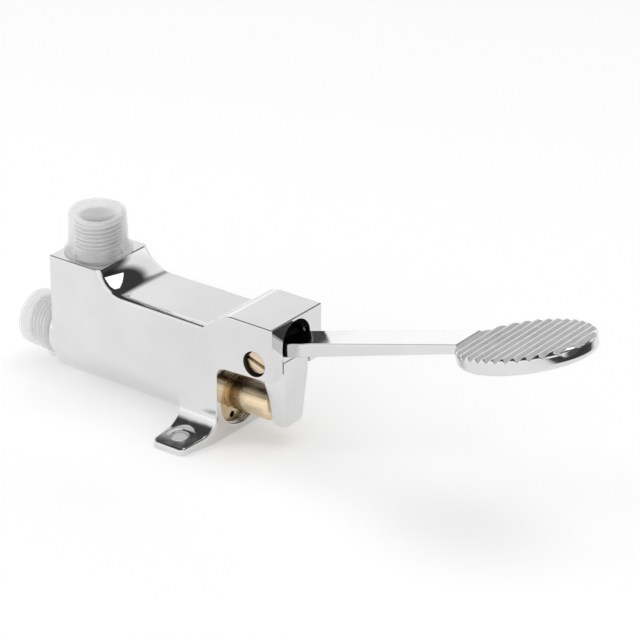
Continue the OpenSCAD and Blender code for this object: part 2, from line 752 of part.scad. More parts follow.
module disc_lock_washer() {
    color("darkgray") translate([nut_x, 0, valve_z]) rotate([0, 90, 0])
        split_ring(stem_d + 2 * push_fit, nut_af, lock_washer_t);
}

module disc_nut() {
    color("goldenrod") difference() {
        translate([nut_x - nut_t, 0, valve_z]) rotate([0, 90, 0])
            cylinder(d = nut_af / cos(30), h = nut_t, $fn = 6);
        rod_x(stem_d + 2 * push_fit, nut_x - nut_t - over, nut_x + over);
    }
}

valve_body();
top_port_cap();
rear_port_cap();
pedal_lever();
pivot_screw();
pivot_lock_washer();
plunger();
gland_nut();
gland_gasket();
gland_seals();
seat_cage();
cage_gasket();
return_spring();
valve_disc();
seat_washer();
disc_lock_washer();
disc_nut();
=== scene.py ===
"""Looks of the foot pedal tap valve: edges, threads, finishes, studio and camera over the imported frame."""

from __future__ import annotations

import json
import logging
import math
from collections.abc import Callable, Iterable
from dataclasses import dataclass, field
from enum import Enum

import bmesh
import bpy
from mathutils import Matrix, Vector


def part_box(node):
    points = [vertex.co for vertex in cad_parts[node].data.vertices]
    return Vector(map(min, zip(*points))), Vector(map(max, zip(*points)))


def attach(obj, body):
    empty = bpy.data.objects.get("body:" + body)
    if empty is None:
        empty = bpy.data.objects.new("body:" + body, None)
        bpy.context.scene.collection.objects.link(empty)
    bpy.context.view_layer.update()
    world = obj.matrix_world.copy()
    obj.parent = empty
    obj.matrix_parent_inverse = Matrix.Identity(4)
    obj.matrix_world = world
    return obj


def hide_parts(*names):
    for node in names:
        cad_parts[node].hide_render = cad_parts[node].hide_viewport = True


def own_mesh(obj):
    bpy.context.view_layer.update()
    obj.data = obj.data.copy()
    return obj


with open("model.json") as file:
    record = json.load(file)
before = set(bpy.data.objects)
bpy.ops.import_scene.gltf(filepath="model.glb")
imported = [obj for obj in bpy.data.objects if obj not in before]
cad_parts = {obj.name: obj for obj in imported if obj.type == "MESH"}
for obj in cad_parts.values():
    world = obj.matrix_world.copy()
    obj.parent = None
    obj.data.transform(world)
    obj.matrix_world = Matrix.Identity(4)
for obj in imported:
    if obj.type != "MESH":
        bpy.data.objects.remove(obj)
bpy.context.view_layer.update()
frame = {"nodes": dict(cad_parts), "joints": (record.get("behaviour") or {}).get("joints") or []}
LOG = logging.getLogger("tap_valve")
MM = 0.001
AHEAD = Vector((1.0, 0.0, 0.0))
UP = Vector((0.0, 0.0, 1.0))
ONE_OCTAVE = 1.0
SOFT_OCTAVES = 2.0
FINE_OCTAVES = 4.0

Rgb = tuple[float, float, float]
Xyz = tuple[float, float, float]
Socket = bpy.types.NodeSocket
EdgeTest = Callable[[bmesh.types.BMEdge], bool]


class Body(Enum):
    """The moving bodies of the valve, by their names in the frame."""

    VALVE = "valve"
    LEVER = "lever"
    PLUNGER = "plunger_train"
    TOP_CAP = "top_cap"
    REAR_CAP = "rear_cap"


class Coat(Enum):
    """The casting's finishes, by their places in the shell's list of materials."""

    PLATE = 0
    BARE = 1
    # Painted shade: near-black plate in the slot and the counterbore.
    PAINTED_SHADE = 2
    CROWNED = 3
    BORE = 4
    EAR = 5
    PORT = 6
    MOUTH = 7
    ROOF = 8


class Axis(Enum):
    """The row axis that a turned piece spins about."""

    X = "X"
    Y = "Y"


class Graph:
    """A node tree, with short calls to add and join its nodes."""

    def __init__(self, tree: bpy.types.NodeTree) -> None:
        """Takes a node tree and empties it.

        Args:
            tree: The tree of a material or of the world.
        """
        self.nodes = tree.nodes
        self.links = tree.links
        self.nodes.clear()

    def feed(self, socket: Socket, value: object) -> None:
        """Links an input to a socket, or sets it to a constant.

        Args:
            socket: The input.
            value: The socket or the constant.
        """
        if isinstance(value, Socket):
            self.links.new(value, socket)
        else:
            socket.default_value = value

    def add(self, kind: str, feeds: dict[str | int, object] | None = None, **settings: str) -> bpy.types.Node:
        """Adds a node.

        Args:
            kind: The node's type.
            feeds: What its inputs get, by their names or numbers.
            settings: Its own settings.

        Returns:
            The new node.
        """
        node = self.nodes.new(kind)
        for name, choice in settings.items():
            setattr(node, name, choice)
        for key, value in (feeds or {}).items():
            self.feed(node.inputs[key], value)
        return node

    def calc(self, operation: str, *values: Socket | float) -> Socket:
        """The result of a calculation with sockets or constants."""
        return self.add("ShaderNodeMath", dict(enumerate(values)), operation=operation).outputs["Value"]

    def calc_vector(self, operation: str, *values: Socket | Xyz, output: str = "Vector") -> Socket:
        """The named output of a calculation with vectors."""
        return self.add("ShaderNodeVectorMath", dict(enumerate(values)), operation=operation).outputs[output]

    def ramp(self, value: Socket, start: float, end: float, low: float, high: float,
             shape: str = "SMOOTHSTEP") -> Socket:
        """A value carried over from the range start to end to the range low to high."""
        feeds = {"Value": value, "From Min": start, "From Max": end, "To Min": low, "To Max": high}
        return self.add("ShaderNodeMapRange", feeds, interpolation_type=shape).outputs["Result"]


class Tree(Graph):
    """A new material's node tree round a principled shader."""

    noise_range: tuple[float, float] = (0.3, 0.7)
    tint_range: tuple[float, float] = (0.35, 0.65)
    waves_in_tau: float = 20.0
    wave_bend: float = 1.2
    wave_detail: float = 2.0

    def __init__(self, name: str) -> None:
        """Starts a material with its shader and object coordinates.

        Args:
            name: The material's name.
        """
        self.material = bpy.data.materials.new(name)
        self.material.use_nodes = True
        super().__init__(self.material.node_tree)
        self.shader = self.add("ShaderNodeBsdfPrincipled")
        self.add("ShaderNodeOutputMaterial", {"Surface": self.shader.outputs["BSDF"]})
        self.place = self.add("ShaderNodeTexCoord").outputs["Object"]

    def shade(self, name: str, value: Socket | float) -> None:
        """Feeds one of the shader's inputs with a socket or a constant."""
        self.feed(self.shader.inputs[name], value)

    def shaded(self, name: str) -> Socket:
        """The socket that one of the shader's inputs is linked to."""
        return self.shader.inputs[name].links[0].from_socket

    def moved(self, centre: Vector, stretch: Xyz = (1.0, 1.0, 1.0)) -> Socket:
        """Object coordinates counted from a centre and stretched.

        Args:
            centre: The point that becomes the origin, in metres.
            stretch: How many times each axis is stretched.

        Returns:
            The vector socket.
        """
        shift = [-c * s for c, s in zip(centre, stretch)]
        feeds = {"Vector": self.place, "Scale": stretch, "Location": shift}
        return self.add("ShaderNodeMapping", feeds).outputs["Vector"]

    def noise(self, scale: float, octaves: float = 3.0) -> Socket:
        """Cloudy noise of so many cycles in a metre, about 0.5 on average."""
        feeds = {"Vector": self.place, "Scale": scale, "Detail": octaves}
        return self.add("ShaderNodeTexNoise", feeds).outputs["Fac"]

    def tool_marks(self, axis: Axis, centre: Vector, pitch: float) -> Socket:
        """Fine turning marks: bands along an axis on the sides, and rings round it on the ends.

        Args:
            axis: The axis of the lathe.
            centre: A point on that axis.
            pitch: Distance between two marks, in metres.

        Returns:
            The height socket.
        """
        feeds = {"Vector": self.moved(centre), "Scale": math.tau / self.waves_in_tau / pitch,
                 "Distortion": self.wave_bend, "Detail": self.wave_detail}
        heights = [self.add("ShaderNodeTexWave", feeds, wave_type=kind, bands_direction=axis.value,
                            rings_direction=axis.value).outputs["Fac"] for kind in ("BANDS", "RINGS")]
        return self.calc("ADD", *heights)

    def spread(self, value: Socket, low: float, high: float, name: str) -> None:
        """Spreads a noise value between two values of one of the shader's inputs."""
        self.shade(name, self.ramp(value, *self.noise_range, low, high, "LINEAR"))

    def tint(self, value: Socket, dark: Rgb, light: Rgb) -> None:
        """Colours the shader between two tints by a noise value.

        Args:
            value: The noise.
            dark: The colour at the noise's low end.
            light: The colour at its high end.
        """
        node = self.add("ShaderNodeValToRGB", {"Fac": value})
        for stop, position, colour in zip(node.color_ramp.elements, self.tint_range, (dark, light)):
            stop.position = position
            stop.color = (*colour, 1.0)
        self.shade("Base Color", node.outputs["Color"])

    def height(self) -> Socket:
        """The height above the floor."""
        return self.add("ShaderNodeSeparateXYZ", {"Vector": self.place}).outputs["Z"]

    def distance(self, centre: Vector, stretch: Xyz = (1.0, 1.0, 1.0)) -> Socket:
        """The distance from a point, or from an axis through it that is stretched to nothing."""
        return self.calc_vector("LENGTH", self.moved(centre, stretch), output="Value")

    def crown(self, radius: float, foot: float, full: float) -> None:
        """Turns the shader's normal outwards across the width, as a hand-polished crowned face does.

        Args:
            radius: The crown's radius, in metres.
            foot: The height at which the crown begins.
            full: The height from which it is full.
        """
        split = self.add("ShaderNodeSeparateXYZ", {"Vector": self.place}).outputs
        share = self.ramp(split["Z"], foot, full, 0.0, 1.0 / radius)
        tilt = self.add("ShaderNodeCombineXYZ", {"Y": self.calc("MULTIPLY", split["Y"], share)})
        lean = self.calc_vector("ADD", self.shaded("Normal"), tilt.outputs["Vector"])
        self.shade("Normal", self.calc_vector("NORMALIZE", lean))

    def darken(self, value: Socket, start: float, end: float, share: float) -> None:
        """Leaves a share of the shader's colour as a value goes from a start to an end."""
        feeds = {0: self.shaded("Base Color"), "Scale": self.ramp(value, start, end, 1.0, share)}
        self.shade("Base Color", self.add("ShaderNodeVectorMath", feeds, operation="SCALE").outputs["Vector"])

    def bump(self, height: Socket, strength: float, depth: float) -> None:
        """Bumps the shader's normal by a height, where a full bump is so many metres deep."""
        feeds = {"Strength": strength, "Distance": depth, "Height": height}
        self.shade("Normal", self.add("ShaderNodeBump", feeds).outputs["Normal"])


@dataclass(frozen=True)
class Finish:
    """A finish of some pieces, made as a node material."""

    name: str

    def make(self) -> bpy.types.Material:
        """Makes the material.

        Returns:
            The finished material.
        """
        tree = Tree(self.name)
        self.paint(tree)
        return tree.material

    def paint(self, tree: Tree) -> None:
        """Adds the finish's own nodes to its tree."""
        raise NotImplementedError


@dataclass(frozen=True)
class ChromePlate(Finish):
    """Polished chrome plate over a casting, with the slight ripple that polishing leaves."""

    dark: Rgb = (0.70, 0.70, 0.70)
    light: Rgb = (0.76, 0.76, 0.76)
    smooth: float = 0.03
    dull: float = 0.075
    ripple: float = 0.10
    ripple_scale: float = 70.0
    grain: float = 0.0
    metal: float = 1.0
    rough_spot: Xyz | None = None
    rough_reach: float = 34.0 * MM
    rough_grain: float = 0.6
    crown_radius: float = 0.0
    crown_foot: float = 51.6 * MM
    crown_full: float = 52.4 * MM
    tint_scale: float = 28.0
    dull_scale: float = 240.0
    grit_scale: float = 1900.0
    depth: float = 0.5 * MM

    def paint(self, tree: Tree) -> None:
        """Adds the plate's nodes: clouds of tint and gloss, ripple, grain and crown.

        Args:
            tree: The new material's tree.
        """
        tree.shade("Metallic", self.metal)
        tree.tint(tree.noise(self.tint_scale), self.dark, self.light)
        tree.spread(tree.noise(self.dull_scale, FINE_OCTAVES), self.smooth, self.dull, "Roughness")
        grit = tree.noise(self.grit_scale, SOFT_OCTAVES)
        height = tree.calc("MULTIPLY_ADD", grit, self.grain, tree.noise(self.ripple_scale, ONE_OCTAVE))
        if self.rough_spot is not None:
            away = tree.distance(Vector(self.rough_spot))
            near = tree.ramp(away, self.rough_reach / 2.0, self.rough_reach, 1.0, 0.0)
            height = tree.calc("MULTIPLY_ADD", tree.calc("MULTIPLY", near, grit), self.rough_grain, height)
        tree.bump(height, self.ripple, self.depth)
        if self.crown_radius > 0.0:
            tree.crown(self.crown_radius, self.crown_foot, self.crown_full)


@dataclass(frozen=True)
class TurnedBrass(Finish):
    """Brass with fine marks from the lathe, with painted shade on its upper side or at the roots of its
    thread where asked.
    """

    axis: Axis
    centre: Vector
    dark: Rgb = (0.58, 0.46, 0.29)
    light: Rgb = (0.74, 0.60, 0.41)
    smooth: float = 0.20
    dull: float = 0.32
    pitch: float = 0.3 * MM
    marks: float = 0.03
    depth: float = 0.05 * MM
    painted_top_shade: float = 1.0
    painted_top_shade_start: float = 4.3 * MM
    painted_top_shade_end: float = 6.2 * MM
    painted_groove_shade: float = 1.0
    crest_r: float = 0.0
    root_r: float = 0.0
    tint_scale: float = 120.0
    dull_scale: float = 600.0

    def paint(self, tree: Tree) -> None:
        """Adds the brass's nodes: tint, painted shade on the upper side and at the thread's roots, gloss and
        tool marks.

        Args:
            tree: The new material's tree.
        """
        tree.shade("Metallic", 1.0)
        tree.tint(tree.noise(self.tint_scale, FINE_OCTAVES), self.dark, self.light)
        # Painted shade: the colour darkens over the upper side, above a height over the axis.
        if self.painted_top_shade < 1.0:
            start, end = self.centre.z + self.painted_top_shade_start, self.centre.z + self.painted_top_shade_end
            tree.darken(tree.height(), start, end, self.painted_top_shade)
        # Painted shade: the colour darkens from the thread's crest radius down to its root.
        if self.painted_groove_shade < 1.0:
            radius = tree.distance(self.centre, (0.0, 1.0, 1.0))
            tree.darken(radius, self.crest_r, self.root_r, self.painted_groove_shade)
        tree.spread(tree.noise(self.dull_scale), self.smooth, self.dull, "Roughness")
        tree.bump(tree.tool_marks(self.axis, self.centre, self.pitch), self.marks, self.depth)


@dataclass(frozen=True)
class ClearPlastic(Finish):
    """Soft clear plastic, a little cloudy, and denser where a moulded wall is seen edge-on, with painted
    shade greying those edges.
    """

    dark: Rgb = (0.90, 0.90, 0.90)
    light: Rgb = (0.95, 0.95, 0.95)
    smooth: float = 0.06
    dull: float = 0.11
    thin: float = 0.10
    thick: float = 0.15
    ior: float = 1.3
    edge_blend: float = 0.25
    edge_alpha: float = 0.50
    edge_shade: float = 0.45
    edge_start: float = 0.4
    edge_end: float = 0.8
    cloud_scale: float = 60.0
    tint_scale: float = 90.0
    dull_scale: float = 300.0
    skin_scale: float = 160.0
    skin: float = 0.08
    depth: float = 0.3 * MM

    def paint(self, tree: Tree) -> None:
        """Adds the plastic's nodes: clouds, tint, denser edges with painted shade, gloss and skin.

        Args:
            tree: The new material's tree.
        """
        tree.shade("IOR", self.ior)
        tree.spread(tree.noise(self.cloud_scale, ONE_OCTAVE), self.thin, self.thick, "Alpha")
        tree.tint(tree.noise(self.tint_scale), self.dark, self.light)
        facing = tree.add("ShaderNodeLayerWeight", {"Blend": self.edge_blend}).outputs["Facing"]
        tree.shade("Alpha", tree.calc("MULTIPLY_ADD", facing, self.edge_alpha, tree.shaded("Alpha")))
        # Painted shade: the colour greys where the wall is seen edge-on.
        tree.darken(facing, self.edge_start, self.edge_end, self.edge_shade)
        tree.spread(tree.noise(self.dull_scale), self.smooth, self.dull, "Roughness")
        tree.bump(tree.noise(self.skin_scale, ONE_OCTAVE), self.skin, self.depth)


@dataclass(frozen=True)
class SpringSteel(Finish):
    """Drawn steel wire and strip, with fine marks."""

    dark: Rgb = (0.36, 0.37, 0.39)
    light: Rgb = (0.52, 0.53, 0.55)
    smooth: float = 0.22
    dull: float = 0.36
    tint_scale: float = 300.0
    dull_scale: float = 900.0
    mark_scale: float = 2400.0
    marks: float = 0.15
    depth: float = 0.03 * MM

    def paint(self, tree: Tree) -> None:
        """Adds the steel's nodes: tint, gloss and marks.

        Args:
            tree: The new material's tree.
        """
        tree.shade("Metallic", 1.0)
        tree.tint(tree.noise(self.tint_scale, FINE_OCTAVES), self.dark, self.light)
        tree.spread(tree.noise(self.dull_scale), self.smooth, self.dull, "Roughness")
        tree.bump(tree.noise(self.mark_scale, SOFT_OCTAVES), self.marks, self.depth)


@dataclass(frozen=True)
class SealRubber(Finish):
    """Black rubber with a fine moulded skin."""

    dark: Rgb = (0.018, 0.018, 0.020)
    light: Rgb = (0.040, 0.040, 0.043)
    skin_scale: float = 1500.0
    smooth: float = 0.48
    dull: float = 0.68
    tint_scale: float = 400.0
    dull_scale: float = 700.0
    skin: float = 0.3
    depth: float = 0.05 * MM

    def paint(self, tree: Tree) -> None:
        """Adds the rubber's nodes: tint, gloss and skin.

        Args:
            tree: The new material's tree.
        """
        tree.tint(tree.noise(self.tint_scale, FINE_OCTAVES), self.dark, self.light)
        tree.spread(tree.noise(self.dull_scale), self.smooth, self.dull, "Roughness")
        tree.bump(tree.noise(self.skin_scale, SOFT_OCTAVES), self.skin, self.depth)


@dataclass(frozen=True)
class EdgeRule:
    """Which sharp edges of a piece are softened, and by how much."""

    width: float
    picks: EdgeTest
    segments: int = 3
    hollow: bool = False


@dataclass
class SoftenedNode:
    """A merged copy of a CAD node with softened edges, which stands for the node in the picture."""

    node: str
    body: Body
    slot: str
    rules: list[EdgeRule] = field(default_factory=list)
    sharp_angle: float = math.radians(24.0)
    flat_angle: float = math.radians(0.6)
    crisp_angle: float = math.radians(50.0)
    weld: float = 0.0005 * MM
    normal_weight: int = 100

    def mesh(self) -> bmesh.types.BMesh:
        """Merges the node's triangles into flat and ruled faces.

        Returns:
            A new bmesh in the row frame.
        """
        bm = bmesh.new()
        bm.from_mesh(frame["nodes"][self.node].data)
        bmesh.ops.remove_doubles(bm, verts=bm.verts, dist=self.weld)
        bmesh.ops.dissolve_limit(bm, angle_limit=self.flat_angle, verts=bm.verts, edges=bm.edges)
        return bm

    def soften(self, bm: bmesh.types.BMesh) -> None:
        """Rounds the sharp edges that each rule picks.

        Args:
            bm: The mesh to change.
        """
        for rule in self.rules:
            edges = [e for e in bm.edges if e.is_manifold and (e.is_convex or rule.hollow)
                     and e.calc_face_angle() > self.sharp_angle and rule.picks(e)]
            if edges:
                bmesh.ops.bevel(bm, geom=edges, offset=rule.width, offset_type="OFFSET", affect="EDGES",
                                segments=rule.segments, profile=0.5, material=-1, clamp_overlap=False)

    def finish(self, bm: bmesh.types.BMesh, coats: list[bpy.types.Material]) -> bpy.types.Object:
        """Turns the mesh into the piece that stands for the node.

        Args:
            bm: The finished mesh, which is freed.
            coats: The materials, in the order of the faces' indices.

        Returns:
            The new object.
        """
        for edge in bm.edges:
            edge.smooth = edge.calc_face_angle(0.0) < self.crisp_angle
        piece = new_piece(f"{self.node}_shell", bm, self.body, coats)
        even = piece.modifiers.new("even_normals", "WEIGHTED_NORMAL")
        even.weight = self.normal_weight
        even.keep_sharp = True
        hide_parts(self.node)
        return piece

    def build(self, coat: bpy.types.Material) -> bpy.types.Object:
        """Makes the softened copy in one finish.

        Args:
            coat: The material.

        Returns:
            The new object.
        """
        bm = self.mesh()
        self.soften(bm)
        return self.finish(bm, [coat])


def new_piece(name: str, bm: bmesh.types.BMesh, body: Body,
              coats: Iterable[bpy.types.Material]) -> bpy.types.Object:
    """Makes an object at the origin from a mesh, lets it ride on a body and gives it its finish.

    Args:
        name: The piece's name.
        bm: Its mesh in the row frame, which is freed.
        body: The body that it moves with.
        coats: Its materials.

    Returns:
        The new object.
    """
    data = bpy.data.meshes.new(name)
    for face in bm.faces:
        face.smooth = True
    bm.to_mesh(data)
    bm.free()
    piece = bpy.data.objects.new(name, data)
    bpy.context.scene.collection.objects.link(piece)
    for coat in coats:
        data.materials.append(coat)
    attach(piece, body.value)
    LOG.info("%s: %d faces, moves with %s", name, len(data.polygons), body.value)
    return piece


def dress(node: str, coat: bpy.types.Material) -> None:
    """Gives a CAD node, kept as it is, its finish.

    Args:
        node: The node's name.
        coat: The material.
    """
    materials = frame["nodes"][node].data.materials
    materials.clear()
    materials.append(coat)
    LOG.info("%s: kept, in %s", node, coat.name)


def middle(node: str) -> Vector:
    """The middle of a CAD node's box at rest."""
    low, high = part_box(node)
    return (low + high) / 2.0


@dataclass(frozen=True)
class ScrewThread:
    """A helical ridge: a thread outside a stub, or inside a mouth where its crest is nearer the axis."""

    start: Vector
    along: Vector
    length: float
    crest_r: float
    root_r: float
    pitch: float
    crest_share: float = 0.18
    root_share: float = 0.80
    steps: int = 48

    def mesh(self) -> bmesh.types.BMesh:
        """Winds the ridge's section round the axis.

        Returns:
            A closed bmesh.
        """
        bm = bmesh.new()
        side = self.along.orthogonal().normalized()
        half = self.pitch / 2.0
        section = [(self.root_r, -half * self.root_share), (self.crest_r, -half * self.crest_share),
                   (self.crest_r, half * self.crest_share), (self.root_r, half * self.root_share)]
        ring = [bm.verts.new(self.start + side * r + self.along * (half + z)) for r, z in section]
        edges = [bm.edges.new((ring[i], ring[i - 1])) for i in range(len(ring))]
        turns = self.length / self.pitch - 1.0
        count = round(turns * self.steps)
        bm.faces.new(ring)
        wound = bmesh.ops.spin(bm, geom=ring + edges, cent=self.start, axis=self.along,
                               dvec=self.along * (self.pitch / self.steps), steps=count,
                               angle=math.tau * count / self.steps, use_merge=False, use_duplicate=False)
        last = [v for v in wound["geom_last"] if isinstance(v, bmesh.types.BMVert)]
        bmesh.ops.contextual_create(bm, geom=last)
        bmesh.ops.recalc_face_normals(bm, faces=bm.faces)
        return bm


@dataclass
class BodyCasting:
    """The chrome casting with its threaded ports and its bare threaded mouth."""

    thread_root_r: float = 9.32 * MM
    thread_pitch: float = 1.814 * MM
    thread_crest_r: float = 10.45 * MM
    thread_run_out: float = 1.0 * MM
    port_bore_r: float = 7.5 * MM
    port_reach: float = 16.0 * MM
    core_r: float = 12.5 * MM
    core_floor: float = 36.0 * MM
    core_top: float = 56.0 * MM
    mouth_r: float = 13.4 * MM
    mouth_crest_r: float = 12.85 * MM
    mouth_pitch: float = 1.05 * MM
    slot_half_w: float = 9.0 * MM
    counterbore_r: float = 5.4 * MM
    hole_r: float = 3.7 * MM
    spot_r: float = 6.5 * MM
    hole_y: float = 26.5 * MM
    ear_top: float = 13.5 * MM
    slack: float = 0.06 * MM
    edge: float = 0.5 * MM
    ear_edge: float = 1.0 * MM
    fine_edge: float = 0.35 * MM
    ramp_edge: float = 4.0 * MM
    ear_back: float = -8.25 * MM
    half_w: float = 16.5 * MM
    neck_top: float = 51.5 * MM
    under: float = 34.4 * MM
    pivot_to_front: float = 9.0 * MM
    bore_reach: float = 50.0 * MM
    stub_slack: float = 0.2 * MM
    spot_slack: float = 0.6 * MM
    core_cover: float = 2.0 * MM
    margin: float = 1.0 * MM
    ramp_w: float = 20.0 * MM
    ramp_gap: float = 2.0 * MM
    shade_band: float = 5.0 * MM
    roof_band: float = 3.0 * MM
    wall_lean: float = 0.5
    far_wall_lean: float = 0.98
    roof_lean: float = 0.1
    sweep_lean: float = 0.05
    sweep_rise: float = 0.2
    port_shorter: float = 1.6 * MM
    thread_sink: float = 0.1 * MM
    mouth_gap: float = 0.05 * MM
    mouth_len: float = 3.2 * MM
    crown_radius: float = 44.0 * MM

    def __post_init__(self) -> None:
        """Reads the places of the ports, the mouth and the pivot from the frame."""
        self.valve_axis = middle("plunger")
        self.top_axis = middle("top_port_cap")
        self.rear_axis = middle("rear_port_cap")
        self.top_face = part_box("top_port_cap")[0].z
        self.rear_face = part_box("rear_port_cap")[1].x
        self.gland_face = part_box("gland_nut")[1].x
        self.pivot = middle("pivot_screw")
        self.front = self.pivot.x + self.pivot_to_front

    def off_valve_axis(self, point: Vector) -> float:
        """The distance of a point from the valve's axis."""
        return math.hypot(point.y - self.valve_axis.y, point.z - self.valve_axis.z)

    def off_top_axis(self, point: Vector) -> float:
        """The distance of a point from the top port's axis."""
        return math.hypot(point.x - self.top_axis.x, point.y - self.top_axis.y)

    def off_rear_axis(self, point: Vector) -> float:
        """The distance of a point from the rear port's axis."""
        return math.hypot(point.y - self.rear_axis.y, point.z - self.rear_axis.z)

    def off_pivot(self, point: Vector) -> float:
        """The distance of a point from the pivot's axis."""
        return math.hypot(point.x - self.pivot.x, point.z - self.pivot.z)

    def off_hole(self, point: Vector) -> float:
        """The distance of a point from the axis of the floor hole on its side."""
        return math.hypot(point.x, abs(point.y) - self.hole_y)

    def on_top_stub(self, point: Vector) -> bool:
        """Tells whether a point is on the top port's stub."""
        near = self.off_top_axis(point) < self.thread_crest_r + self.slack
        return near and point.z > self.top_face - self.stub_slack

    def on_rear_stub(self, point: Vector) -> bool:
        """Tells whether a point is on the rear port's stub."""
        near = self.off_rear_axis(point) < self.thread_crest_r + self.slack
        return near and point.x < self.rear_face + self.stub_slack

    def inside(self, point: Vector) -> bool:
        """Tells whether a point is on the wall of a waterway."""
        ahead = point.x > self.gland_face - self.bore_reach
        if ahead and self.off_valve_axis(point) < self.mouth_r - self.slack:
            return True
        if not ahead and self.off_rear_axis(point) < self.core_r + self.slack:
            return True
        if self.off_top_axis(point) < self.port_bore_r + self.slack:
            return True
        in_core = abs(point.y) < self.core_r + self.slack and point.x < 0.0
        level = self.core_floor - self.slack < point.z < self.core_top + self.slack
        below = point.z < self.neck_top - self.core_cover
        return in_core and level and (below or self.off_top_axis(point) < self.core_r + self.slack)

    def is_hidden(self, edge: bmesh.types.BMEdge) -> bool:
        """Tells whether an edge is on a port's stub or inside a waterway."""
        ends = [v.co for v in edge.verts]
        on_stub = any(self.on_top_stub(p) or self.on_rear_stub(p) for p in ends)
        return on_stub or all(self.inside(p) for p in ends)

    def is_fine(self, edge: bmesh.types.BMEdge) -> bool:
        """Tells whether an edge bounds the mouth, the slot, the counterbore or a floor hole."""
        ends = [v.co for v in edge.verts]
        mouth = all(abs(self.off_valve_axis(p) - self.mouth_r) < self.slack for p in ends)
        pivot = all(self.off_pivot(p) < self.counterbore_r + self.slack for p in ends)
        slot = all(abs(p.y) < self.slot_half_w + self.slack and p.x > self.gland_face for p in ends)
        hole = all(p.z < self.ear_top and self.off_hole(p) < self.hole_r + self.slack for p in ends)
        return mouth or pivot or slot or hole

    def is_spot(self, edge: bmesh.types.BMEdge) -> bool:
        """Tells whether an edge bounds the spot face on an ear, which stays crisp."""
        ends = [v.co for v in edge.verts]
        low = all(p.z < self.ear_top for p in ends)
        return low and all(abs(self.off_hole(p) - self.spot_r) < self.spot_slack for p in ends)

    def is_ear(self, edge: bmesh.types.BMEdge) -> bool:
        """Tells whether an edge bounds an ear outside the body's sides and above the floor."""
        ends = [v.co for v in edge.verts]
        return all(abs(p.y) > self.half_w + self.slack and self.slack < p.z < self.ear_top for p in ends)

    def is_tangent(self, edge: bmesh.types.BMEdge) -> bool:
        """Tells whether an edge is at the base's back, where it runs out into the belly."""
        ends = [v.co for v in edge.verts]
        at_back = all(abs(p.x - self.ear_back) < self.slack for p in ends)
        return at_back and all(abs(p.y) < self.half_w + self.slack for p in ends)

    def is_ramp(self, edge: bmesh.types.BMEdge) -> bool:
        """Tells whether an edge runs across the body at the ramp's top or foot."""
        first, second = (v.co for v in edge.verts)
        across = abs(first.y - second.y) > self.ramp_w and abs(first.x - second.x) < self.slack
        return across and first.z > self.neck_top - self.slack and 0.0 < first.x < self.front - self.ramp_gap

    def is_bare(self, face: bmesh.types.BMFace) -> bool:
        """Tells whether a face is the threaded wall of the mouth."""
        on_wall = all(self.off_valve_axis(v.co) < self.mouth_r + self.slack for v in face.verts)
        ahead = face.calc_center_median().x > self.gland_face - self.margin
        return on_wall and ahead and abs(face.normal.x) < self.wall_lean

    def gets_painted_shade(self, face: bmesh.types.BMFace) -> bool:
        """Tells whether a face gets painted shade: the slot's walls and the counterbore."""
        points = [v.co for v in face.verts]
        ahead = all(p.x > self.gland_face and p.z > self.under - self.shade_band for p in points)
        behind = face.calc_center_median().x < self.front - self.margin
        inner = behind and face.normal.y > -self.far_wall_lean
        walls = inner and all(abs(p.y) < self.slot_half_w + self.slack for p in points)
        bored = all(self.off_pivot(p) < self.counterbore_r + self.slack for p in points)
        return ahead and (walls or bored)

    def is_roof(self, face: bmesh.types.BMFace) -> bool:
        """Tells whether a face is the satin underside of the front block, over the plunger."""
        place = face.calc_center_median()
        level = abs(place.z - self.under) < self.roof_band
        return face.normal.z < -self.roof_lean and level and place.x > self.gland_face

    def is_sweep(self, face: bmesh.types.BMFace) -> bool:
        """Tells whether a face is on the hollow sweep from the rear block down to the neck."""
        place = face.calc_center_median()
        leans = face.normal.x > self.sweep_lean and face.normal.z > self.sweep_rise
        return leans and self.neck_top < place.z < self.top_face and place.x < 0.0

    def coat_of(self, face: bmesh.types.BMFace) -> Coat:
        """Chooses a face's finish.

        Args:
            face: A face of the shell, before its edges are softened.

        Returns:
            The finish.
        """
        if self.is_bare(face):
            return Coat.BARE
        if all(self.inside(v.co) for v in face.verts):
            return Coat.BORE
        if all(self.on_top_stub(v.co) or self.on_rear_stub(v.co) for v in face.verts):
            return Coat.PORT
        if self.is_roof(face):
            return Coat.ROOF
        if self.gets_painted_shade(face):
            return Coat.PAINTED_SHADE
        if self.is_sweep(face):
            return Coat.CROWNED
        on_ear = all(abs(v.co.y) > self.half_w - self.slack and v.co.z < self.ear_top for v in face.verts)
        return Coat.EAR if on_ear else Coat.PLATE

    def narrow_ports(self, bm: bmesh.types.BMesh) -> None:
        """Brings the ports' turned ridges down to the root of the thread, so that the helix can stand on it.

        Args:
            bm: The body's merged mesh.
        """
        for vert in bm.verts:
            if self.on_top_stub(vert.co):
                share = min(1.0, self.thread_root_r / self.off_top_axis(vert.co))
                vec, centre = (share, share, 1.0), self.top_axis
            elif self.on_rear_stub(vert.co):
                share = min(1.0, self.thread_root_r / self.off_rear_axis(vert.co))
                vec, centre = (1.0, share, share), self.rear_axis
            else:
                continue
            bmesh.ops.scale(bm, vec=vec, verts=[vert], space=Matrix.Translation(-centre))

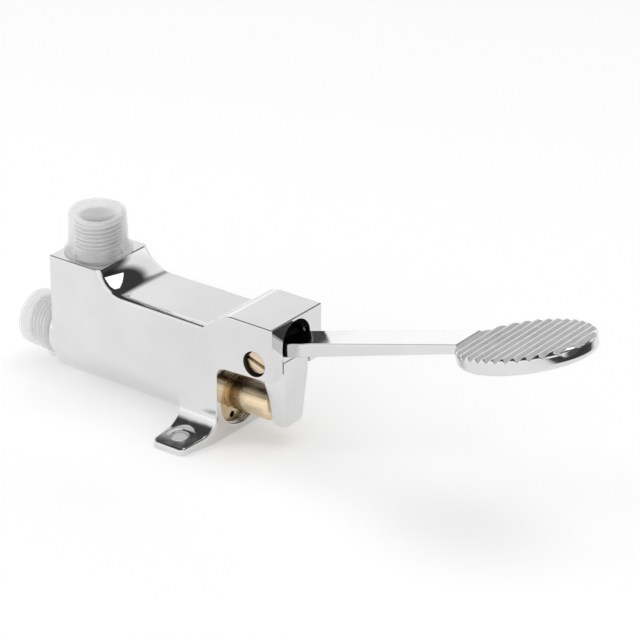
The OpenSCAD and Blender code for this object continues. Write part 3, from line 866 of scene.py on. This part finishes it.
    def coats(self) -> dict[Coat, bpy.types.Material]:
        """Makes the casting's finishes.

        Returns:
            The materials, in the order of the faces' indices.
        """
        axis = self.valve_axis
        bare = TurnedBrass("bare_brass", Axis.X, axis, (0.30, 0.22, 0.13), (0.42, 0.32, 0.20), 0.26, 0.40)
        # The mouth's thread gets painted shade at its roots.
        mouth = TurnedBrass("mouth_brass", Axis.X, axis, (0.80, 0.72, 0.58), (0.90, 0.82, 0.68), 0.26, 0.36,
                            painted_groove_shade=0.08, crest_r=self.mouth_crest_r, root_r=self.mouth_r)
        # Painted shade: a near-black plate on the slot's walls and in the counterbore.
        slot_shade = ChromePlate("painted_shade_casting", (0.07, 0.06, 0.05), (0.12, 0.10, 0.085), 0.45, 0.6,
                          ripple=0.3, ripple_scale=160.0, grain=0.2)
        roof = ChromePlate("satin_casting", (0.64, 0.63, 0.61), (0.74, 0.73, 0.71), 0.36, 0.5,
                           ripple=0.3, ripple_scale=160.0, grain=0.2)
        bore = ChromePlate("bore_chrome", (0.95, 0.95, 0.95), (0.98, 0.98, 0.98), 0.5, 0.62, metal=0.0)
        port = ChromePlate("thread_chrome", (0.93, 0.93, 0.93), (0.97, 0.97, 0.97), 0.16, 0.24, metal=0.25)
        finishes = {
            Coat.PLATE: ChromePlate("body_chrome"),
            Coat.BARE: bare,
            Coat.PAINTED_SHADE: slot_shade,
            Coat.CROWNED: ChromePlate("crowned_chrome", crown_radius=self.crown_radius),
            Coat.BORE: bore,
            Coat.EAR: ChromePlate("ear_chrome", smooth=0.10, dull=0.20, ripple=0.32, ripple_scale=130.0),
            Coat.PORT: port,
            Coat.MOUTH: mouth,
            Coat.ROOF: roof,
        }
        return {coat: finish.make() for coat, finish in finishes.items()}

    def is_ear_rim(self, edge: bmesh.types.BMEdge) -> bool:
        """Tells whether an edge is an ear's own rim, and not round its hole or spot face."""
        return self.is_ear(edge) and not (self.is_fine(edge) or self.is_spot(edge))

    def is_plain(self, edge: bmesh.types.BMEdge) -> bool:
        """Tells whether an edge is softened by the common width."""
        special = self.is_hidden(edge) or self.is_fine(edge) or self.is_ear(edge)
        return not (special or self.is_tangent(edge))

    def build(self) -> None:
        """Makes the body's shell and its threads."""
        shell = SoftenedNode("valve_body", Body.VALVE, "body_chrome", [
            EdgeRule(self.ramp_edge, self.is_ramp, segments=5, hollow=True),
            EdgeRule(self.ear_edge, self.is_ear_rim, segments=4),
            EdgeRule(self.edge, self.is_plain),
            EdgeRule(self.fine_edge, lambda e: not self.is_hidden(e) and self.is_fine(e), segments=2)])
        coats = self.coats()
        bm = shell.mesh()
        self.narrow_ports(bm)
        for face in bm.faces:
            face.material_index = self.coat_of(face).value
        shell.soften(bm)
        shell.finish(bm, list(coats.values()))
        top_start = Vector((self.top_axis.x, self.top_axis.y, self.top_face + self.thread_run_out))
        rear_start = Vector((self.rear_face - self.thread_run_out, self.rear_axis.y, self.rear_axis.z))
        length = self.port_reach - self.port_shorter
        root_r = self.thread_root_r - self.thread_sink
        for name, start, along in (("top_port_thread", top_start, UP),
                                   ("rear_port_thread", rear_start, -AHEAD)):
            thread = ScrewThread(start, along, length, self.thread_crest_r, root_r, self.thread_pitch)
            new_piece(name, thread.mesh(), Body.VALVE, [coats[Coat.PORT]])
        mouth_start = Vector((self.gland_face + self.mouth_gap, self.valve_axis.y, self.valve_axis.z))
        mouth = ScrewThread(mouth_start, AHEAD, self.mouth_len, self.mouth_crest_r,
                            self.mouth_r + self.thread_sink, self.mouth_pitch)
        new_piece("mouth_thread", mouth.mesh(), Body.VALVE, [coats[Coat.MOUTH]])


@dataclass
class PedalLever:
    """The lever: hub, leg and arm in polished plate, with a duller ribbed pad."""

    edge: float = 0.7 * MM
    rib_edge: float = 0.28 * MM
    pad_start: float = 92.0 * MM
    pad_reach: float = 124.4 * MM
    pad_flat: float = 27.6 * MM
    arm_angle: float = math.radians(16.5)
    rib_rise: float = 0.4
    rib_lean: float = 0.05
    arm_root: Xyz = (46.0 * MM, 0.0, 47.0 * MM)

    def __post_init__(self) -> None:
        """Reads the pivot's place from the frame."""
        self.pivot = next(j["pos_m"] for j in frame["joints"] if j["name"] == "pedal_press")

    def along_arm(self, point: Vector) -> float:
        """How far along the arm a point is from the pivot."""
        ahead, rise = point.x - self.pivot[0], point.z - self.pivot[2]
        return ahead * math.cos(self.arm_angle) + rise * math.sin(self.arm_angle)

    def is_ribbed(self, face: bmesh.types.BMFace) -> bool:
        """Tells whether a face is on the pad's ribs."""
        up = face.normal.z * math.cos(self.arm_angle) - face.normal.x * math.sin(self.arm_angle)
        off = abs(self.along_arm(face.calc_center_median()) - self.pad_reach)
        return off < self.pad_flat and up > self.rib_rise and abs(face.normal.y) < self.rib_lean

    def on_pad(self, edge: bmesh.types.BMEdge) -> bool:
        """Tells whether an edge is on the pad."""
        return all(self.along_arm(v.co) > self.pad_start for v in edge.verts)

    def build(self) -> None:
        """Makes the lever's shell."""
        shell = SoftenedNode("pedal_lever", Body.LEVER, "lever_chrome", [
            EdgeRule(self.edge, lambda e: not self.on_pad(e)),
            EdgeRule(self.rib_edge, self.on_pad, segments=2)])
        bm = shell.mesh()
        for face in bm.faces:
            face.material_index = int(self.is_ribbed(face))
        shell.soften(bm)
        plate = ChromePlate("lever_chrome", ripple=0.14, ripple_scale=90.0, grain=0.05,
                            rough_spot=self.arm_root)
        ribs = ChromePlate("rib_chrome", (0.74, 0.74, 0.74), (0.86, 0.86, 0.86), 0.34, 0.5,
                           ripple=0.5, ripple_scale=160.0, grain=0.35, metal=0.8)
        shell.finish(bm, [plate.make(), ribs.make()])


@dataclass
class ReturnSpring:
    """The coil spring: closed turns at its ends, open turns between, round wire."""

    wire_r: float = 0.7 * MM
    end_gap: float = 0.45 * MM
    open_turns: int = 7
    steps: int = 32
    sides: int = 12
    stroke: float = 4.427 * MM
    weld: float = 0.001 * MM

    def build(self, coat: bpy.types.Material) -> None:
        """Winds the wire where the CAD spring is.

        Args:
            coat: The steel.
        """
        low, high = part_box("return_spring")
        axis = middle("plunger")
        mean_r = (high.y - low.y) / 2.0 - self.wire_r
        begin = low.x + self.wire_r
        length = high.x - low.x - 2.0 * self.wire_r
        end_pitch = 2.0 * self.wire_r + self.end_gap
        open_pitch = (length - 2.0 * end_pitch) / self.open_turns
        bm = bmesh.new()
        seat = Matrix.Translation((begin, axis.y + mean_r, axis.z))
        circle = bmesh.ops.create_circle(bm, cap_ends=True, radius=self.wire_r, segments=self.sides,
                                         matrix=seat)
        loop = [e for v in circle["verts"] for e in v.link_edges]
        geom = list(circle["verts"]) + list(dict.fromkeys(loop))
        for turns, pitch in ((1, end_pitch), (self.open_turns, open_pitch), (1, end_pitch)):
            wound = bmesh.ops.spin(bm, geom=geom, cent=(begin, axis.y, axis.z), axis=AHEAD,
                                   dvec=AHEAD * (pitch / self.steps), angle=math.tau * turns,
                                   steps=turns * self.steps, use_merge=False, use_duplicate=False)
            geom = [g for g in wound["geom_last"] if not isinstance(g, bmesh.types.BMFace)]
        bmesh.ops.contextual_create(bm, geom=[g for g in geom if isinstance(g, bmesh.types.BMVert)])
        bmesh.ops.remove_doubles(bm, verts=bm.verts, dist=self.weld)
        bmesh.ops.recalc_face_normals(bm, faces=bm.faces)
        piece = new_piece("return_spring_wire", bm, Body.VALVE, [coat])
        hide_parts("return_spring")
        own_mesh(piece)


@dataclass
class TurnedParts:
    """The brass pieces on the valve's axis and the pivot screw, with small broken edges."""

    edge: float = 0.22 * MM
    hole_inner_r: float = 7.6 * MM
    hole_outer_r: float = 13.0 * MM

    def build(self) -> None:
        """Makes the softened turned pieces in their brass finishes."""
        axis = middle("plunger")
        pivot = middle("pivot_screw")
        # The rod gets painted shade over its upper side.
        rod = TurnedBrass("plunger_brass", Axis.X, axis, (0.80, 0.65, 0.44), (0.86, 0.72, 0.51), 0.20, 0.26,
                          marks=0.012, painted_top_shade=0.3)
        gland = TurnedBrass("gland_brass", Axis.X, axis)
        screw = TurnedBrass("screw_brass", Axis.Y, pivot, (0.60, 0.48, 0.34), (0.78, 0.64, 0.48), 0.18, 0.30)
        coats = {"plunger_brass": rod.make(), "gland_brass": gland.make(), "screw_brass": screw.make()}
        rules = [EdgeRule(self.edge, lambda e: True, segments=2)]
        SoftenedNode("plunger", Body.PLUNGER, "plunger_brass", rules).build(coats["plunger_brass"])
        SoftenedNode("pivot_screw", Body.VALVE, "screw_brass", rules).build(coats["screw_brass"])
        nut = SoftenedNode("gland_nut", Body.VALVE, "gland_brass", rules)
        self.build_gland(nut, axis, coats["gland_brass"])
        for node in ("seat_cage", "valve_disc", "disc_nut"):
            dress(node, coats["gland_brass"])

    def build_gland(self, shell: SoftenedNode, axis: Vector, coat: bpy.types.Material) -> None:
        """Makes the gland nut, with painted shade in its spanner holes.

        Args:
            shell: The gland nut's softened copy.
            axis: A point on the valve's axis.
            coat: The brass of its faces.
        """
        # Painted shade: near-black brass in the sunk spanner holes.
        hole_shade = TurnedBrass("painted_hole_shade_brass", Axis.X, axis, (0.10, 0.06, 0.035), (0.17, 0.11, 0.06), 0.4, 0.55)
        bm = shell.mesh()
        face_x = max(v.co.x for v in bm.verts)
        for face in bm.faces:
            radii = [math.hypot(v.co.y - axis.y, v.co.z - axis.z) for v in face.verts]
            sunk = min(v.co.x for v in face.verts) < face_x - self.edge
            in_ring = min(radii) > self.hole_inner_r and max(radii) < self.hole_outer_r
            face.material_index = int(sunk and in_ring)
        shell.soften(bm)
        shell.finish(bm, [coat, hole_shade.make()])


@dataclass
class InnerParts:
    """The washers, gaskets and seals that sit inside."""

    def build(self, steel: bpy.types.Material) -> None:
        """Gives each inner piece its finish.

        Args:
            steel: The steel of the split washers.
        """
        gasket = SealRubber("gasket_rubber", (0.035, 0.034, 0.033), (0.075, 0.072, 0.068), 700.0).make()
        seal = SealRubber("seal_rubber").make()
        for node in ("pivot_lock_washer", "disc_lock_washer"):
            dress(node, steel)
        for node in ("gland_gasket", "cage_gasket"):
            dress(node, gasket)
        for node in ("gland_seals", "seat_washer"):
            dress(node, seal)


@dataclass
class PortCaps:
    """The clear push-on caps: thin tapered cups with a rounded end and a rim."""

    rim_r: float = 14.4 * MM
    rim_t: float = 1.5 * MM
    rim_edge: float = 0.4 * MM
    base_r: float = 12.7 * MM
    end_r: float = 12.1 * MM
    height: float = 19.0 * MM
    wall: float = 0.9 * MM
    round_r: float = 2.4 * MM
    arc_steps: int = 8
    segments: int = 96
    weld: float = 0.001 * MM

    def skin(self, inset: float) -> list[tuple[float, float]]:
        """A skin of the cup, from its base up to the middle of its end.

        Args:
            inset: How far the skin is inside the outer one.

        Returns:
            Radii and heights.
        """
        round_r = self.round_r - inset
        centre_r, centre_h = self.end_r - self.round_r, self.height - self.round_r
        turns = [math.pi / 2.0 * i / self.arc_steps for i in range(self.arc_steps + 1)]
        arc = [(centre_r + round_r * math.cos(a), centre_h + round_r * math.sin(a)) for a in turns]
        return [(self.base_r - inset, 0.0), *arc, (0.0, self.height - inset)]

    def mesh(self, start: Vector, along: Vector) -> bmesh.types.BMesh:
        """Spins the cup's section round its axis.

        Args:
            start: The middle of the open end.
            along: The way that the closed end points.

        Returns:
            A closed bmesh.
        """
        outer, inner = self.skin(0.0), self.skin(self.wall)
        neck_r = self.base_r + (self.end_r - self.base_r) * self.rim_t / (self.height - self.round_r)
        edge_r = self.rim_r - self.rim_edge
        rim = [(edge_r, 0.0), (self.rim_r, self.rim_edge), (self.rim_r, self.rim_t - self.rim_edge),
               (edge_r, self.rim_t), (neck_r, self.rim_t)]
        side = along.orthogonal().normalized()
        bm = bmesh.new()
        line = [bm.verts.new(start + side * r + along * h) for r, h in [*reversed(inner), *rim, *outer[1:]]]
        edges = [bm.edges.new(pair) for pair in zip(line, line[1:])]
        bmesh.ops.spin(bm, geom=line + edges, cent=start, axis=along, angle=math.tau, steps=self.segments,
                       use_merge=True, use_duplicate=False)
        bmesh.ops.remove_doubles(bm, verts=bm.verts, dist=self.weld)
        bmesh.ops.recalc_face_normals(bm, faces=bm.faces)
        return bm

    def build(self) -> None:
        """Makes both caps' clear shells."""
        coat = ClearPlastic("cap_plastic").make()
        top, rear = middle("top_port_cap"), middle("rear_port_cap")
        top.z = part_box("top_port_cap")[0].z
        rear.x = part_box("rear_port_cap")[1].x
        for node, body, start, along in (("top_port_cap", Body.TOP_CAP, top, UP),
                                         ("rear_port_cap", Body.REAR_CAP, rear, -AHEAD)):
            SoftenedNode(node, body, "cap_plastic").finish(self.mesh(start, along), [coat])


@dataclass(frozen=True)
class Lamp:
    """A square soft lamp."""

    name: str
    place: Xyz
    size: float
    power: float
    mirrored: bool = False

    def hang(self, target: Vector) -> None:
        """Hangs the lamp so that it points at a target.

        Args:
            target: The point, in metres.
        """
        data = bpy.data.lights.new(self.name, "AREA")
        data.shape = "SQUARE"
        data.size = self.size
        data.energy = self.power
        lamp = bpy.data.objects.new(self.name, data)
        lamp.visible_glossy = self.mirrored
        lamp.location = self.place
        lamp.rotation_euler = (target - Vector(self.place)).to_track_quat("-Z", "Y").to_euler()
        bpy.context.scene.collection.objects.link(lamp)


@dataclass
class Studio:
    """A white floor, a bright band of backdrop under a dim ceiling, soft lamps and the camera."""

    azimuth: float = math.radians(37.2)
    elevation: float = math.radians(25.8)
    distance: float = 1.281
    target: Vector = field(default_factory=lambda: Vector((0.0517, 0.0, 0.0613)))
    focal_share: float = 3228.0 / 640.0
    sensor: float = 36.0
    clip_end: float = 100.0
    floor_size: float = 40.0
    backdrop_top: float = 0.43
    ceiling_start: float = 0.66
    ceiling: float = 0.05
    horizon: float = 1.25
    horizon_end: float = 0.38
    gap_azimuth: float = math.radians(18.0)
    gap_elevation: float = math.radians(6.0)
    gap_inner: float = math.radians(28.0)
    gap_outer: float = math.radians(44.0)
    gap_dark: float = 0.08
    paper_end: float = 0.4
    paper_fade: float = 0.5
    floor_white: float = 0.88
    floor_glow: float = 0.30
    far_start: float = 0.5
    far_end: float = 2.6
    far_white: float = 0.38
    lamps: tuple[Lamp, ...] = (Lamp("top_lamp", (0.56, 0.3, 1.5), 1.0, 5.0, True),
                               Lamp("left_lamp", (-1.2, -0.9, 1.0), 0.8, 6.0),
                               Lamp("soft_ceiling", (-0.05, -0.1, 2.2), 2.5, 18.0))

    def place_camera(self) -> None:
        """Puts the camera at the photograph's angle."""
        data = bpy.data.cameras.new("photo_camera")
        data.sensor_fit = "HORIZONTAL"
        data.sensor_width = self.sensor
        data.lens = self.sensor * self.focal_share
        data.clip_end = self.clip_end
        camera = bpy.data.objects.new("photo_camera", data)
        bpy.context.scene.collection.objects.link(camera)
        flat = math.cos(self.elevation)
        right, near = math.sin(self.azimuth) * flat, math.cos(self.azimuth) * flat
        back = Vector((right, -near, math.sin(self.elevation)))
        camera.location = self.target + back * self.distance
        camera.rotation_euler = (-back).to_track_quat("-Z", "Y").to_euler()
        bpy.context.scene.camera = camera

    def seen_by(self, graph: Graph, *rays: str) -> Socket:
        """A value of 1 for rays of the named kinds, and 0 for others.

        Args:
            graph: The node tree that gets the nodes.
            rays: Names of the light path's outputs.

        Returns:
            The value socket.
        """
        path = graph.add("ShaderNodeLightPath").outputs
        total = path[rays[0]]
        for name in rays[1:]:
            total = graph.calc("MAXIMUM", total, path[name])
        return total

    def towards_gap(self, graph: Graph, place: Socket, elevation: float) -> Socket:
        """How far a place or direction is towards the gap in the white on the right.

        Args:
            graph: The node tree that gets the nodes.
            place: The place or direction.
            elevation: How high the gap is taken to be, as an angle.

        Returns:
            The value socket.
        """
        flat = math.cos(elevation)
        gap = (math.cos(self.gap_azimuth) * flat, math.sin(self.gap_azimuth) * flat, math.sin(elevation))
        return graph.calc_vector("DOT_PRODUCT", place, gap, output="Value")

    def kept_in_mirrors(self, graph: Graph, value: float) -> Socket:
        """A value that falls, in the polished metal only, where the paper would end on the right.

        Args:
            graph: The floor's node tree.
            value: The value on the paper.

        Returns:
            The value socket.
        """
        place = graph.add("ShaderNodeTexCoord").outputs["Object"]
        end, drop = self.paper_end + self.paper_fade, value * (self.gap_dark - 1.0)
        fall = graph.ramp(self.towards_gap(graph, place, 0.0), self.paper_end, end, 0.0, drop)
        return graph.calc("MULTIPLY_ADD", fall, self.seen_by(graph, "Is Glossy Ray"), value)

    def far_glow(self, graph: Graph) -> Socket:
        """A value that keeps the floor white to the camera where the lamps no longer reach it.

        Args:
            graph: The floor's node tree.

        Returns:
            The value socket.
        """
        place = graph.add("ShaderNodeTexCoord").outputs["Object"]
        away = graph.calc_vector("LENGTH", place, output="Value")
        rise = graph.ramp(away, self.far_start, self.far_end, 0.0, self.far_white)
        return graph.calc("MULTIPLY", rise, self.seen_by(graph, "Is Camera Ray"))

    def lay_floor(self) -> None:
        """Lays a large white floor that keeps the object's shadow."""
        bm = bmesh.new()
        bmesh.ops.create_grid(bm, x_segments=1, y_segments=1, size=self.floor_size / 2.0)
        data = bpy.data.meshes.new("floor")
        bm.to_mesh(data)
        bm.free()
        floor = bpy.data.objects.new("floor", data)
        bpy.context.scene.collection.objects.link(floor)
        material = bpy.data.materials.new("floor_paper")
        material.use_nodes = True
        graph = Graph(material.node_tree)
        paper = graph.add("ShaderNodeBsdfDiffuse", {"Color": self.kept_in_mirrors(graph, self.floor_white)})
        seen = self.seen_by(graph, "Is Camera Ray", "Is Glossy Ray", "Is Transmission Ray")
        near = graph.calc("MULTIPLY", seen, self.kept_in_mirrors(graph, self.floor_glow))
        glow = graph.add("ShaderNodeEmission", {"Strength": graph.calc("ADD", near, self.far_glow(graph))})
        both = graph.add("ShaderNodeAddShader", {0: paper.outputs["BSDF"], 1: glow.outputs["Emission"]})
        graph.add("ShaderNodeOutputMaterial", {"Surface": both.outputs["Shader"]})
        data.materials.append(material)

    def hang_backdrop(self) -> None:
        """Makes the world: white low down but for a gap on the right, dim above, and white to the camera."""
        world = bpy.data.worlds.new("studio")
        bpy.context.scene.world = world
        world.use_nodes = True
        graph = Graph(world.node_tree)
        place = graph.add("ShaderNodeTexCoord").outputs["Generated"]
        height = graph.add("ShaderNodeSeparateXYZ", {"Vector": place}).outputs["Z"]
        band = graph.ramp(height, self.backdrop_top, self.ceiling_start, 1.0, self.ceiling)
        lift = graph.ramp(height, 0.0, self.horizon_end, self.horizon, 1.0)
        towards = self.towards_gap(graph, place, self.gap_elevation)
        gap = graph.ramp(towards, math.cos(self.gap_outer), math.cos(self.gap_inner), 1.0, self.gap_dark)
        dim = graph.calc("MULTIPLY", graph.calc("MULTIPLY", band, lift), gap)
        white = graph.calc("MAXIMUM", dim, self.seen_by(graph, "Is Camera Ray", "Is Transmission Ray"))
        background = graph.add("ShaderNodeBackground", {"Color": (1.0, 1.0, 1.0, 1.0), "Strength": white})
        graph.add("ShaderNodeOutputWorld", {"Surface": background.outputs["Background"]})

    def build(self) -> None:
        """Sets up the whole studio."""
        bpy.context.scene.view_settings.view_transform = "Standard"
        self.place_camera()
        self.lay_floor()
        self.hang_backdrop()
        for lamp in self.lamps:
            lamp.hang(self.target)
        LOG.info("studio: camera, floor, backdrop and lamps")


def main() -> None:
    """Builds each sub-assembly's looks in order, then the studio."""
    logging.basicConfig(level=logging.INFO, format="%(name)s: %(message)s")
    steel = SpringSteel("spring_steel").make()
    BodyCasting().build()
    PedalLever().build()
    TurnedParts().build()
    InnerParts().build(steel)
    ReturnSpring().build(steel)
    PortCaps().build()
    Studio().build()


if __name__ == "__main__":
    main()
